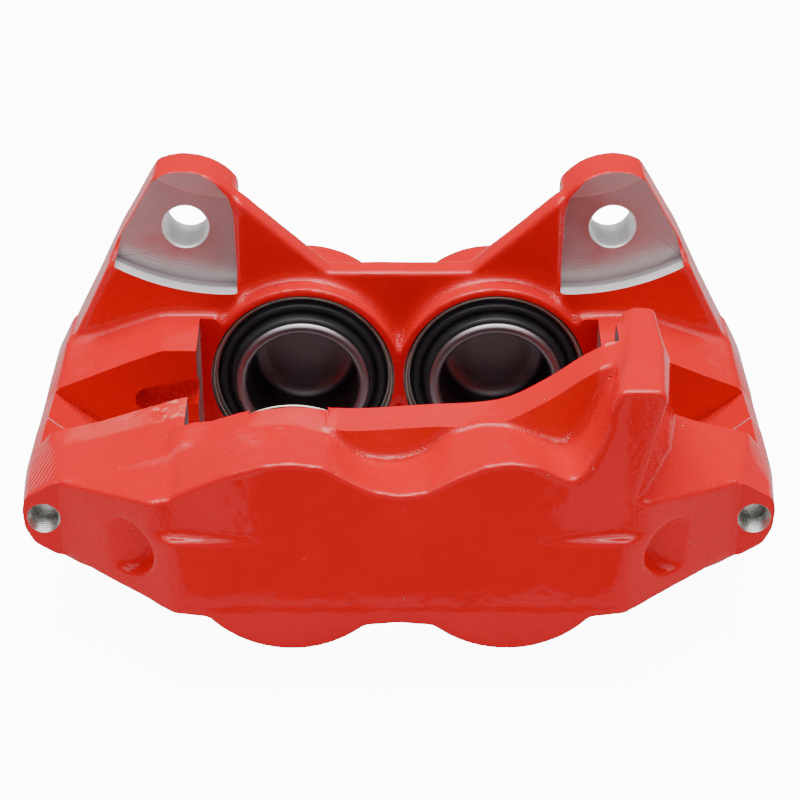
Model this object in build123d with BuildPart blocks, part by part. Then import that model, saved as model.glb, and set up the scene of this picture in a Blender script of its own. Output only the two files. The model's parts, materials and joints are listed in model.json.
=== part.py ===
from build123d import *
import math
import os

# Four-piston opposed brake caliper, in millimetres.
# X runs along the disc's travel, +Y points inboard (to the vehicle), +Z points to the hub.
# The origin is on the disc's mid-plane, midway between the two piston axes.

os.makedirs("parts", exist_ok=True)

# ---- driving dimensions -------------------------------------------------------------------
PISTON_PITCH = 65.0          # between the two piston axes of one half
PISTON_RADIUS = 22.5
PISTON_LENGTH = 34.0
PISTON_RIM = 31.5            # rim's distance from the disc's mid-plane, pistons at rest
CUP_RADIUS = 18.8
CUP_DEPTH = 25.5
BORE_CLEARANCE = 0.05

SLOT_HALF = 17.5             # half the disc slot between the end blocks
POCKET_HALF = 36.0           # pad pocket: distance of each bore face from the mid-plane
ABUTMENT_X = 66.5            # pad abutment faces
DISC_AXIS_Z = 134.0          # height of the disc's own axis
SLOT_FLOOR_RADIUS = 172.0    # slot floor, about the disc's axis
BRIDGE_RADIUS = 190.0        # underside of the bridge, about the disc's axis

BOSS_RADIUS = 33.5
BOSS_REAR = 75.5             # inboard boss end
BOSS_FRONT = -77.0           # outboard boss end
WEB_FRONT = 44.0             # wall behind the collars of the inboard bores
WEB_REAR = 54.0
WEB_TOP = 35.8
CORE_REAR = 66.0
BLOCK_REAR = 58.0            # rear face of the inboard end blocks

EAR_HOLE_X = 71.0
EAR_HOLE_Z = 51.0
EAR_HOLE_RADIUS = 7.4
EAR_FACE = 48.0              # machined mounting face
EAR_CAST_FACE = 47.0
EAR_REAR = 65.5
EAR_LOW_FACE = 39.5          # cast face under the milled ledge
EAR_INNER_X = 54.0
LEDGE_RADIUS = 78.0          # cutter path of the milled ledge
LEDGE_CENTRE = (56.0, 108.0)

PORT_X = 109.3
PORT_Z = -2.2
PORT_FACE = -50.0
PORT_RADIUS = 4.55           # core of an M10 x 1 thread
PORT_DEPTH = 7.5
INLET_DEPTH = 12.0
PASSAGE_RADIUS = 1.75
CROSS_DRILLING = 63.0        # drilling that joins the two galleries of one half
CROSS_REACH = 14.0

BOLT_RADIUS = 5.0
BOLT_CLEARANCE_RADIUS = 5.25
BOLT_THREAD_DEPTH = 30.0
BOLT_CIRCLE = 180.5          # bridge bolts, about the disc's axis
BOLT_X = (80.0, 104.0)
BOLT_SEAT = 56.0
SPOT_FACE_RADIUS = 9.6
THREAD_GAP = 0.02

SEAL_X = -92.2               # crossover drilling through the joint plane
SEAL_RECESS_DEPTH = 1.4
SEAL_RECESS_RADIUS = 5.0
SEAL_RING_RADIUS = 3.9
SEAL_CORD_RADIUS = 0.68
CROSSOVER_END_X = -53.0      # where the crossover drillings meet the left galleries
CROSSOVER_END_Y = 66.0
CROSSOVER_END_Z = -12.0

BOOT_RECESS_RADIUS = 31.0
BOOT_RECESS_DEPTH = 6.0
GALLERY_RADIUS = 24.0        # fluid gallery behind the piston
GALLERY_FRONT = 60.0
BORE_FLOOR = 69.0
SEAL_GROOVE_FRONT = 47.0
SEAL_GROOVE_REAR = 50.2
SEAL_GROOVE_RADIUS = 25.5

PIN_X = 24.0
PIN_Z = -39.0
PIN_RADIUS = 4.0
PIN_LUG_RADIUS = 8.0
PIN_LUG_REAR = 62.0
PIN_LUG_FRONT = -46.0

PISTON_X = PISTON_PITCH / 2
FAR = 300.0                  # longer than the whole object, for through cuts


def across(y):
    """Plane square to Y at the given y: sketch x is X, sketch y is Z, extrusions run to -Y."""
    return Plane.XZ.offset(-y)


def on_circle_z(radius, x):
    """Height of a circle about the disc's axis at the given x, on its lower side."""
    return DISC_AXIS_Z - math.sqrt(radius ** 2 - x ** 2)


def outline(points, y, mirrored=True):
    """Closed straight-sided face on one Y plane, with its mirror image if wanted."""
    with BuildSketch(across(y)) as face:
        with BuildLine():
            Polyline(*points, close=True)
        make_face()
        if mirrored:
            mirror(about=Plane.YZ)
    return face.sketch


def discs(radius, y, *centres):
    """Round faces on one Y plane."""
    with BuildSketch(across(y)) as face:
        with Locations(*centres):
            Circle(radius)
    return face.sketch


def slab(points, y_front, y_rear):
    """Mirrored pair of plates with one outline, between two Y planes."""
    extrude(outline(points, y_rear), amount=y_rear - y_front)


def side_loft(sections, side):
    """Loft through outlines given as {y: points} on one side of the caliper."""
    faces = []
    for y, points in sections.items():
        faces.append(outline([(side * x, z) for x, z in points], y, mirrored=False))
    loft(faces, ruled=True)


def strip_loft(tops):
    """Body under two top lines, given as {y: points} with the same x values in both."""
    for index in range(min(len(points) for points in tops.values()) - 1):
        faces = []
        for y, points in tops.items():
            (x_low, z_low), (x_high, z_high) = points[index:index + 2]
            strip = [(x_low, 0), (x_high, 0), (x_high, z_high), (x_low, z_low)]
            faces.append(outline(strip, y, mirrored=False))
        loft(faces, ruled=True)


def drill(start, end, radius):
    """Straight drilling from one point to another."""
    path = Vector(*end) - Vector(*start)
    with BuildSketch(Plane(origin=start, z_dir=path)) as mouth:
        Circle(radius)
    extrude(mouth.sketch, amount=path.length, mode=Mode.SUBTRACT)


def cut_between(y_front, y_rear, radius, x, z):
    """Round cut along Y."""
    extrude(discs(radius, y_rear, (x, z)), amount=y_rear - y_front, mode=Mode.SUBTRACT)


def cut_bore(x, half):
    """Stepped piston bore: boot recess, seal groove, running bore, fluid gallery."""
    bore = PISTON_RADIUS + BORE_CLEARANCE
    recess_floor = POCKET_HALF + BOOT_RECESS_DEPTH
    steps = [
        (0, POCKET_HALF - 1), (BOOT_RECESS_RADIUS, POCKET_HALF - 1),
        (BOOT_RECESS_RADIUS, recess_floor), (bore, recess_floor),
        (bore, SEAL_GROOVE_FRONT), (SEAL_GROOVE_RADIUS, SEAL_GROOVE_FRONT),
        (SEAL_GROOVE_RADIUS, SEAL_GROOVE_REAR), (bore, SEAL_GROOVE_REAR),
        (bore, GALLERY_FRONT), (GALLERY_RADIUS, GALLERY_FRONT),
        (GALLERY_RADIUS, BORE_FLOOR), (0, BORE_FLOOR),
    ]
    turn(steps, x, half, Mode.SUBTRACT)


def turn(steps, x, half, mode=Mode.ADD):
    """Turned shape about a piston axis, from (radius, distance from mid-plane) points."""
    with BuildSketch(Plane.XY) as section:
        with BuildLine():
            Polyline(*[(x + r, half * y) for r, y in steps], close=True)
        make_face()
    revolve(section.sketch, axis=Axis((x, 0, 0), (0, 1, 0)), mode=mode)


def cut_disc_slot():
    """Disc slot down to its round floor, and the open pad pocket between the abutments."""
    slot = discs(SLOT_FLOOR_RADIUS, SLOT_HALF, (0, DISC_AXIS_Z))
    extrude(slot, amount=2 * SLOT_HALF, mode=Mode.SUBTRACT)
    pocket = outline([(0, -FAR), (ABUTMENT_X, -FAR), (ABUTMENT_X, FAR), (0, FAR)], POCKET_HALF)
    extrude(pocket, amount=2 * POCKET_HALF, mode=Mode.SUBTRACT)


def trim_bridge():
    """Round the whole underside of the half to the bridge radius."""
    whole = discs(BRIDGE_RADIUS, FAR / 2, (0, DISC_AXIS_Z))
    extrude(whole, amount=FAR, mode=Mode.INTERSECT)


def pin_lugs(y_front, y_rear):
    """Pair of lugs below the bosses that hold the ends of the pad pins."""
    extrude(discs(PIN_LUG_RADIUS, y_rear, (-PIN_X, PIN_Z), (PIN_X, PIN_Z)),
            amount=y_rear - y_front)
    inner, outer = PIN_X - PIN_LUG_RADIUS, PIN_X + PIN_LUG_RADIUS
    slab([(inner, PIN_Z), (outer, PIN_Z), (outer, 0), (inner, 0)], y_front, y_rear)


SEAL_Z = on_circle_z(BOLT_CIRCLE, SEAL_X)

# ---- inboard half ---------------------------------------------------------------------------
END_BOTTOM = [(119.5, -6), (119, -13), (113, -24), (95, -42), (60, -58)]
BLOCK_AT_SLOT = [(60, 20.2), (77.5, 20.2), (86.5, 16.7), (112.5, 6), (117.5, 0)] + END_BOTTOM
BLOCK_AT_EAR = [(60, 23.4), (80, 22.7), (100, 15.7), (111.5, 13), (117, 2)] + END_BOTTOM
WEB = [(0, -26), (0, WEB_TOP), (24, WEB_TOP), (53, 62), (66, 50), (66, -20)]
CORE = [(0, -26), (0, 24), (70, 22), (70, -30), (50, -30)]
EAR_CROWN = [(EAR_INNER_X, 61.5), (67, 70.4), (81, 68.5)]
EAR_EDGE = [(93, 48), (103, 27), (112, 9), (112, 0), (60, 0)]
EAR_MILLED_EDGE = [(54, 20), (54, 54), (62, 64), (78, 66), (86, 59), (94, 37), (94, 20)]
EAR_MILLED_WIDTH = 60.0
REAR_BOSS_FILLET = 6.0
INLET_FACE = 77.5
INLET_BOSS_RADIUS = 9.5
INLET_DRILLING_RADIUS = 2.25
RELIEF_X = 75.5              # oval relief in the slot wall
RELIEF_Z = 3.5
RELIEF_LENGTH = 24.0
RELIEF_WIDTH = 9.0
RELIEF_DEPTH = 6.0
RELIEF_TILT = 12.0
BLEEDER_SEAT = Vector(-58.6, 68.8, 8.0)
BLEEDER_AXIS = Vector(-0.77, 0.64, 0.0).normalized()
BLEEDER_BOSS_LENGTH = 15.0
BLEEDER_BOSS_ROOT = 12.0
BLEEDER_BOSS_RADIUS = 8.5
BLEEDER_DRILLING_RADIUS = 1.5
BLEEDER_DRILLING_LENGTH = 8.0

with BuildPart() as inboard_half:
    # Piston bosses with rounded rear edges
    extrude(discs(BOSS_RADIUS, BOSS_REAR, (-PISTON_X, 0), (PISTON_X, 0)),
            amount=BOSS_REAR - POCKET_HALF)
    fillet(inboard_half.faces().group_by(Axis.Y)[-1].edges(), REAR_BOSS_FILLET)
    # Web between the ears, with sloping gussets, and the core between the bosses
    slab(WEB, WEB_FRONT, WEB_REAR)
    slab(CORE, WEB_FRONT, CORE_REAR)
    # End blocks: straight beside the slot, rising to the ears behind it
    slab(BLOCK_AT_SLOT, 0, SLOT_HALF)
    for side in (-1, 1):
        side_loft({SLOT_HALF: BLOCK_AT_SLOT, EAR_LOW_FACE: BLOCK_AT_EAR}, side)
    slab(BLOCK_AT_EAR, EAR_LOW_FACE, BLOCK_REAR)
    # Ears
    with BuildSketch(across(EAR_REAR)):
        with BuildLine():
            ThreePointArc(*EAR_CROWN)
            Polyline(EAR_CROWN[-1], *EAR_EDGE, (EAR_INNER_X, 20), EAR_CROWN[0])
        make_face()
        mirror(about=Plane.YZ)
    extrude(amount=EAR_REAR - EAR_LOW_FACE)
    # Pad pin lugs, fluid inlet boss and bleeder boss
    pin_lugs(POCKET_HALF, PIN_LUG_REAR)
    extrude(discs(INLET_BOSS_RADIUS, INLET_FACE, (0, 0)), amount=INLET_FACE - WEB_REAR)
    boss_root = BLEEDER_SEAT - BLEEDER_AXIS * BLEEDER_BOSS_ROOT
    with BuildSketch(Plane(origin=boss_root, z_dir=BLEEDER_AXIS)):
        Circle(BLEEDER_BOSS_RADIUS)
    extrude(amount=BLEEDER_BOSS_ROOT + BLEEDER_BOSS_LENGTH)

    # Slot, pocket and bores
    trim_bridge()
    cut_disc_slot()
    cut_bore(-PISTON_X, 1)
    cut_bore(PISTON_X, 1)
    for side in (-1, 1):
        # Milled ledge and mounting face on the ear, with the mounting hole
        ledge_centre = (side * LEDGE_CENTRE[0], LEDGE_CENTRE[1])
        with BuildSketch(across(EAR_CAST_FACE)):
            with Locations(ledge_centre):
                Circle(LEDGE_RADIUS)
            with Locations((side * (EAR_INNER_X + EAR_MILLED_WIDTH / 2), EAR_MILLED_WIDTH)):
                Rectangle(EAR_MILLED_WIDTH, 100, mode=Mode.INTERSECT)
        extrude(amount=EAR_CAST_FACE - SLOT_HALF - 1, mode=Mode.SUBTRACT)
        with BuildSketch(across(EAR_FACE)):
            with BuildLine():
                Polyline(*[(side * x, z) for x, z in EAR_MILLED_EDGE], close=True)
            make_face()
            with Locations(ledge_centre):
                Circle(LEDGE_RADIUS, mode=Mode.INTERSECT)
        extrude(amount=EAR_FACE - SLOT_HALF - 1, mode=Mode.SUBTRACT)
        cut_between(0, FAR / 2, EAR_HOLE_RADIUS, side * EAR_HOLE_X, EAR_HOLE_Z)
        # Oval relief in the slot wall
        with BuildSketch(across(SLOT_HALF + RELIEF_DEPTH)):
            with Locations((side * RELIEF_X, RELIEF_Z)):
                SlotOverall(RELIEF_LENGTH, RELIEF_WIDTH, rotation=-RELIEF_TILT * side)
        extrude(amount=RELIEF_DEPTH + 1, mode=Mode.SUBTRACT)
        # Pad pin holes and bridge bolt holes with spot faces
        cut_between(0, FAR / 2, PIN_RADIUS, side * PIN_X, PIN_Z)
        for x in BOLT_X:
            z = on_circle_z(BOLT_CIRCLE, x)
            cut_between(-1, FAR / 2, BOLT_CLEARANCE_RADIUS, side * x, z)
            cut_between(BOLT_SEAT, FAR / 2, SPOT_FACE_RADIUS, side * x, z)
    # Inlet port with its cross drilling
    cut_between(INLET_FACE - INLET_DEPTH, FAR / 2, PORT_RADIUS, 0, 0)
    cut_between(CROSS_DRILLING, FAR / 2, INLET_DRILLING_RADIUS, 0, 0)
    drill((-CROSS_REACH, CROSS_DRILLING, 0), (CROSS_REACH, CROSS_DRILLING, 0), PASSAGE_RADIUS)
    # Crossover drilling from the joint plane to the left bore, with a seal recess
    drill((SEAL_X, 0, SEAL_Z), (CROSSOVER_END_X, CROSSOVER_END_Y, CROSSOVER_END_Z),
          PASSAGE_RADIUS)
    cut_between(-1, SEAL_RECESS_DEPTH, SEAL_RECESS_RADIUS, SEAL_X, SEAL_Z)
    # Bleeder hole: thread, cone seat and drilling into the left gallery
    drill(BLEEDER_SEAT, BLEEDER_SEAT + BLEEDER_AXIS * 2 * BLEEDER_BOSS_LENGTH, PORT_RADIUS)
    drill(BLEEDER_SEAT, BLEEDER_SEAT - BLEEDER_AXIS * BLEEDER_DRILLING_LENGTH,
          BLEEDER_DRILLING_RADIUS)
inboard_half.part.label = "inboard_half"
export_step(inboard_half.part, "parts/inboard_half.step")

# ---- outboard half --------------------------------------------------------------------------
OUT_JOINT = [(60, 24), (66, 23), (78.5, 19), (95, 13.5), (110.5, 9.6), (117.5, 1)] + END_BOTTOM
OUT_PORT = [(60, 21.5), (66, 20.5), (78, 17.5), (95, 13.2), (103.5, 11.3), (114.8, 5),
            (115.6, 1), (115.2, -5), (112.5, -10.5), (100, -18.5), (60, -36)]
NOSE_REAR = [(55, 21), (66, 19.8), (104, 10.8), (104, -15), (92, -19.5), (75, -26), (55, -34)]
NOSE_FRONT = [(55, 19.6), (58, 19.2), (68, 18.2), (68, -19.6), (64, -20), (60, -20.3),
              (55, -20.6)]
HORN_REAR = [(69, 0), (69, 52.5), (73, 54), (78.5, 53.5), (82, 42), (86.5, 17), (86.5, 0)]
HORN_WAIST_Y = -42.0
HORN_WAIST = [(64, 0), (66, 51), (69, 54.3), (79, 54), (81.5, 49), (82.5, 17), (82.5, 0)]
HORN_FRONT = [(56, 0), (60.5, 49), (63, 54.5), (75.5, 54.5), (77.5, 52), (68, 17), (68, 0)]
LOWER_BODY = [(0, -23), (0, 12), (58, 12), (58, -20), (40, -26), (12, -24)]
NOSE_X = 68.0                # where the nose meets the end of the front face
# Top of the rim beside the pad pocket
RIM_START_X = -70.0
RIM_TOP = [(RIM_START_X, 21.9), (-66, 23.6), (-58, 24.2), (-49, 27.6), (-33, 29.9), (-14, 28.7),
           (7, 30), (30, 31.8), (44, 38.6), (55, 46.5), (62, 50.6), (NOSE_X, 52.4)]
RIM_FRONT = -48.0
RIM_FALL = 1.2
# Top of the body: gutter at the foot of the rim, and the waved front edge
GUTTER_TOP = [(-67, 20.6), (-58, 24), (-49, 27), (-40, 28.8), (-32, 29), (-22, 27), (-13, 19.5),
              (-7, 17.8), (0, 17.8), (8, 20.5), (16, 27.4), (25, 30), (33, 29.6), (41, 26),
              (47, 24), (51, 23.6), (55, 28), (58.5, 35), (62.5, 46)]
WAVE_TOP = [(-67, 19), (-58, 24.2), (-49, 28.8), (-40, 32.2), (-32, 33.3), (-22, 32),
            (-13, 26.6), (-7, 23.6), (0, 22.3), (8, 23.2), (16, 27.8), (25, 32), (33, 33.3),
            (41, 32), (47, 28.2), (51, 26.2), (55, 29.5), (58.5, 36.6), (62.5, 48.4)]
FRONT_BOSS_RADIUS = 33.0
FRONT_BOSS_FILLET = 2.5
TOP_BASE = 10.0              # height at which the bosses give way to the waved top
LEDGE_Z = 6.0                # ledge across the front face
LEDGE_START_X = 37.0
LEDGE_END_X = 67.0
LEDGE_DEPTH = 4.5
NOSE_POCKET_X = 82.5
NOSE_POCKET_Z = -2.5
NOSE_POCKET_FLOOR = -62.5
NOSE_POCKET_RADIUS = 8.8
PORT_DRILLING_X = 55.0
PORT_DRILLING_Y = -65.0

with BuildPart() as outboard_half:
    # Piston bosses, cut off level where the waved top begins
    extrude(discs(FRONT_BOSS_RADIUS, -POCKET_HALF, (-PISTON_X, 0), (PISTON_X, 0)),
            amount=-POCKET_HALF - BOSS_FRONT)
    fillet(outboard_half.faces().group_by(Axis.Y)[0].edges(), FRONT_BOSS_FILLET)
    slab(LOWER_BODY, BOSS_FRONT, -POCKET_HALF)
    above = outline([(0, TOP_BASE), (FAR, TOP_BASE), (FAR, FAR), (0, FAR)], 0)
    extrude(above, amount=FAR, mode=Mode.SUBTRACT)
    # Rim beside the pad pocket, and the top between its foot and the waved front edge
    rim_foot = [(NOSE_X, 0), (RIM_START_X, 0)]
    rim_rear = rim_foot + RIM_TOP
    rim_front = rim_foot + [(x, z - RIM_FALL) for x, z in RIM_TOP]
    side_loft({-POCKET_HALF: rim_rear, RIM_FRONT: rim_front}, 1)
    strip_loft({RIM_FRONT: GUTTER_TOP, BOSS_FRONT: WAVE_TOP})
    # End blocks and the tapering nose in front of them
    slab(OUT_JOINT, -SLOT_HALF, 0)
    for side in (-1, 1):
        side_loft({-SLOT_HALF: OUT_JOINT, PORT_FACE: OUT_PORT}, side)
        side_loft({PORT_FACE: NOSE_REAR, BOSS_FRONT: NOSE_FRONT}, side)
    # Horn on the trailing end
    side_loft({-SLOT_HALF: HORN_REAR, HORN_WAIST_Y: HORN_WAIST, BOSS_FRONT: HORN_FRONT}, 1)
    # Pad pin lugs
    pin_lugs(PIN_LUG_FRONT, -POCKET_HALF)

    # Front face steps back above a ledge, more and more towards each end
    with BuildSketch(Plane.XY.offset(LEDGE_Z)):
        with BuildLine():
            Polyline((LEDGE_START_X, BOSS_FRONT), (LEDGE_END_X, BOSS_FRONT + LEDGE_DEPTH),
                     (FAR, BOSS_FRONT + LEDGE_DEPTH), (FAR, -FAR), (LEDGE_START_X, -FAR),
                     close=True)
        make_face()
        mirror(about=Plane.YZ)
    extrude(amount=FAR, mode=Mode.SUBTRACT)

    trim_bridge()
    cut_disc_slot()
    cut_bore(-PISTON_X, -1)
    cut_bore(PISTON_X, -1)
    for side in (-1, 1):
        # Round relief pockets in the nose
        cut_between(-FAR / 2, NOSE_POCKET_FLOOR, NOSE_POCKET_RADIUS, side * NOSE_POCKET_X,
                    NOSE_POCKET_Z)
        # End ports with drillings to the galleries
        port_floor = PORT_FACE + PORT_DEPTH
        cut_between(-FAR / 4, port_floor, PORT_RADIUS, side * PORT_X, PORT_Z)
        drill((side * PORT_X, port_floor - PASSAGE_RADIUS, PORT_Z),
              (side * PORT_DRILLING_X, PORT_DRILLING_Y, PORT_Z), PASSAGE_RADIUS)
        # Blind pad pin holes and bridge bolt threads
        cut_between(PIN_LUG_FRONT + 2, 0, PIN_RADIUS, side * PIN_X, PIN_Z)
        for x in BOLT_X:
            z = on_circle_z(BOLT_CIRCLE, x)
            cut_between(-BOLT_THREAD_DEPTH - 2, 1, BOLT_RADIUS + THREAD_GAP, side * x, z)
    # Cross drilling between the galleries, and the crossover drilling from the joint plane
    drill((-CROSS_REACH, -CROSS_DRILLING, 0), (CROSS_REACH, -CROSS_DRILLING, 0), PASSAGE_RADIUS)
    drill((SEAL_X, 0, SEAL_Z), (CROSSOVER_END_X, -CROSSOVER_END_Y, CROSSOVER_END_Z),
          PASSAGE_RADIUS)
outboard_half.part.label = "outboard_half"
export_step(outboard_half.part, "parts/outboard_half.step")

# ---- pistons, seals, boots and rings --------------------------------------------------------
LIP_GROOVE_RADIUS = 21.0
LIP_GROOVE = (33.4, 35.4)
PISTON_END = PISTON_RIM + PISTON_LENGTH
CUP_FLOOR = PISTON_RIM + CUP_DEPTH
PISTON_STEPS = [
    (0, CUP_FLOOR), (CUP_RADIUS - 4.5, CUP_FLOOR), (CUP_RADIUS - 1.8, CUP_FLOOR - 2.7),
    (CUP_RADIUS, PISTON_RIM + 1), (CUP_RADIUS + 0.8, PISTON_RIM),
    (PISTON_RADIUS - 0.8, PISTON_RIM), (PISTON_RADIUS, PISTON_RIM + 0.8),
    (PISTON_RADIUS, LIP_GROOVE[0]), (LIP_GROOVE_RADIUS, LIP_GROOVE[0]),
    (LIP_GROOVE_RADIUS, LIP_GROOVE[1]), (PISTON_RADIUS, LIP_GROOVE[1]),
    (PISTON_RADIUS, PISTON_END - 1.5), (PISTON_RADIUS - 1.5, PISTON_END), (0, PISTON_END),
]
SEAL_BORE = PISTON_RADIUS + 0.03
SEAL_PLAY = 0.1
SEAL_OUTSIDE = SEAL_GROOVE_RADIUS - SEAL_PLAY
SEAL_STEPS = [
    (SEAL_BORE, SEAL_GROOVE_FRONT + SEAL_PLAY), (SEAL_OUTSIDE, SEAL_GROOVE_FRONT + SEAL_PLAY),
    (SEAL_OUTSIDE, SEAL_GROOVE_REAR - SEAL_PLAY), (SEAL_BORE, SEAL_GROOVE_REAR - SEAL_PLAY),
]
# Bellows of the dust boot from the piston groove out to the bead under the ring
BOOT_FOLDS = [(21.2, 34.4), (22.9, 34.2), (23.7, 37.8), (24.6, 39.6), (25.6, 37.2), (26.8, 36.8),
              (27.8, 39.3), (30.9, 39.6)]
BOOT_THICKNESS = 1.5
RING_WIRE_RADIUS = 0.8
RING_RADIUS = 30.1
RING_DISTANCE = 37.1

for half_name, half in (("inboard", 1), ("outboard", -1)):
    for side_name, x in (("left", -PISTON_X), ("right", PISTON_X)):
        where = f"{half_name}_{side_name}"
        with BuildPart() as piston:
            turn(PISTON_STEPS, x, half)
        piston.part.label = f"piston_{where}"
        export_step(piston.part, f"parts/piston_{where}.step")

        with BuildPart() as seal:
            turn(SEAL_STEPS, x, half)
        seal.part.label = f"piston_seal_{where}"
        export_step(seal.part, f"parts/piston_seal_{where}.step")

        near = [(r, y - BOOT_THICKNESS / 2) for r, y in BOOT_FOLDS]
        far = [(r, y + BOOT_THICKNESS / 2) for r, y in BOOT_FOLDS]
        with BuildPart() as boot:
            turn(near + far[::-1], x, half)
        boot.part.label = f"dust_boot_{where}"
        export_step(boot.part, f"parts/dust_boot_{where}.step")

        with BuildPart() as ring:
            with BuildSketch(Plane.XY):
                with Locations((x + RING_RADIUS, half * RING_DISTANCE)):
                    Circle(RING_WIRE_RADIUS)
            revolve(axis=Axis((x, 0, 0), (0, 1, 0)))
        ring.part.label = f"boot_ring_{where}"
        export_step(ring.part, f"parts/boot_ring_{where}.step")

# ---- bridge bolts ---------------------------------------------------------------------------
BOLT_HEAD_FLATS = 15.0
BOLT_HEAD_HEIGHT = 8.0
BOLT_FLANGE_RADIUS = 9.0
BOLT_FLANGE_HEIGHT = 2.0

with BuildPart() as bridge_bolts:
    for x in (-BOLT_X[1], -BOLT_X[0], BOLT_X[0], BOLT_X[1]):
        centre = (x, on_circle_z(BOLT_CIRCLE, abs(x)))
        extrude(discs(BOLT_RADIUS, BOLT_SEAT, centre), amount=BOLT_SEAT + BOLT_THREAD_DEPTH)
        extrude(discs(BOLT_FLANGE_RADIUS, BOLT_SEAT + BOLT_FLANGE_HEIGHT, centre),
                amount=BOLT_FLANGE_HEIGHT)
        with BuildSketch(across(BOLT_SEAT + BOLT_HEAD_HEIGHT)):
            with Locations(centre):
                RegularPolygon(BOLT_HEAD_FLATS / 2, 6, major_radius=False)
        extrude(amount=BOLT_HEAD_HEIGHT - BOLT_FLANGE_HEIGHT)
bridge_bolts.part.label = "bridge_bolts"
export_step(bridge_bolts.part, "parts/bridge_bolts.step")

# ---- crossover seal between the halves ------------------------------------------------------
with BuildPart() as crossover_seal:
    with BuildSketch(Plane.XY.offset(SEAL_Z)):
        with Locations((SEAL_X + SEAL_RING_RADIUS, SEAL_RECESS_DEPTH / 2)):
            Circle(SEAL_CORD_RADIUS)
    revolve(axis=Axis((SEAL_X, 0, SEAL_Z), (0, 1, 0)))
crossover_seal.part.label = "crossover_seal"
export_step(crossover_seal.part, "parts/crossover_seal.step")

# ---- bleeder screw and cap ------------------------------------------------------------------
# Steps are (radius, distance along the screw from its seat)
BLEEDER_STEPS = [
    (0, -0.9), (0.5, -0.9), (1.4, 0.02), (2.8, 1.4), (4.0, 2.0), (4.5, 3.0), (4.5, 14.0),
    (3.9, 14.6), (3.9, 22.5), (3.2, 23.2), (2.6, 24.0), (2.6, 28.0), (3.4, 29.4), (2.5, 32.0),
    (0, 32.0),
]
BLEEDER_HEX_FLATS = 10.0
BLEEDER_HEX = (16.8, 22.3)
BLEEDER_BORE_RADIUS = 1.0
CAP_STEPS = [
    (3.45, 24.2), (4.6, 24.2), (5.1, 24.9), (5.1, 27.2), (4.4, 28.0), (4.4, 33.6), (3.4, 34.8),
    (0, 34.8), (0, 32.4), (3.45, 32.4),
]


def turn_on_bleeder(steps):
    """Turned shape about the bleeder's axis."""
    plane = Plane(origin=BLEEDER_SEAT, x_dir=(0, 0, 1), z_dir=Vector(0, 0, 1).cross(BLEEDER_AXIS))
    with BuildSketch(plane) as section:
        with BuildLine():
            Polyline(*steps, close=True)
        make_face()
    revolve(section.sketch, axis=Axis(BLEEDER_SEAT, BLEEDER_AXIS))


with BuildPart() as bleeder_screw:
    turn_on_bleeder(BLEEDER_STEPS)
    with BuildSketch(Plane(origin=BLEEDER_SEAT + BLEEDER_AXIS * BLEEDER_HEX[0],
                           z_dir=BLEEDER_AXIS)):
        RegularPolygon(BLEEDER_HEX_FLATS / 2, 6, major_radius=False)
    extrude(amount=BLEEDER_HEX[1] - BLEEDER_HEX[0])
    drill(BLEEDER_SEAT + BLEEDER_AXIS * 32, BLEEDER_SEAT + BLEEDER_AXIS * 4, BLEEDER_BORE_RADIUS)
bleeder_screw.part.label = "bleeder_screw"
export_step(bleeder_screw.part, "parts/bleeder_screw.step")

with BuildPart() as bleeder_cap:
    turn_on_bleeder(CAP_STEPS)
bleeder_cap.part.label = "bleeder_cap"
export_step(bleeder_cap.part, "parts/bleeder_cap.step")
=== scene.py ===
import json
import math

import bmesh
import bpy
import numpy as np
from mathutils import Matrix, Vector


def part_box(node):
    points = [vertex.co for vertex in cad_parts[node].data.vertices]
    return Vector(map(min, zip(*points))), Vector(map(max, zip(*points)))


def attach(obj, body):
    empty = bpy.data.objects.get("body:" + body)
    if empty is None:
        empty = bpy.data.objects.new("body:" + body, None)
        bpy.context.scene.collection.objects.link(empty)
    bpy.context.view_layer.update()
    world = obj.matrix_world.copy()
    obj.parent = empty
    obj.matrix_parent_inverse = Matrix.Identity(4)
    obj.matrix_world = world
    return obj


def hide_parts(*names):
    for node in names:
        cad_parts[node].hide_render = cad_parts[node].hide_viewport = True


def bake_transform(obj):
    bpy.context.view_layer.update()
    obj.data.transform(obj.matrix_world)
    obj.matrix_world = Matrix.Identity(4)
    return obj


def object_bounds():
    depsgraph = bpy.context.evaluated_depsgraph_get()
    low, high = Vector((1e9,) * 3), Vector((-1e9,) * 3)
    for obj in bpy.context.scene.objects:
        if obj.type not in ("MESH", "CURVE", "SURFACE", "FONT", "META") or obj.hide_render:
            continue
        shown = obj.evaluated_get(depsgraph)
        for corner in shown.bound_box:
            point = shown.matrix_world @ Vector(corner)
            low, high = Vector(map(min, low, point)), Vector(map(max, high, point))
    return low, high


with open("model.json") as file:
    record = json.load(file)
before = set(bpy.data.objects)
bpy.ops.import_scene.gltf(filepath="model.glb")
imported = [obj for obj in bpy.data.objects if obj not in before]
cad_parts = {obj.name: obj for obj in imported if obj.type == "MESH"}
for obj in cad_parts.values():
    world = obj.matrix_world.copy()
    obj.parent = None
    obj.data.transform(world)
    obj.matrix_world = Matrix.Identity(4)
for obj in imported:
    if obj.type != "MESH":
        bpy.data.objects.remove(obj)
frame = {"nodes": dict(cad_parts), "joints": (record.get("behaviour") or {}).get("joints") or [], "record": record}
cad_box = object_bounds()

import openvdb
from mathutils import Vector

# A red four-piston brake caliper. Lengths are in millimetres and become metres in make_mesh().
MM = 0.001
BODY = "caliper_body"
TURN = 192         # segments of a turned part
RANDOM = np.random.default_rng(7)


def low_high(node):
    """A CAD node's box corners in millimetres."""
    low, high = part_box(node)
    return np.array(low) / MM, np.array(high) / MM


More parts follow.
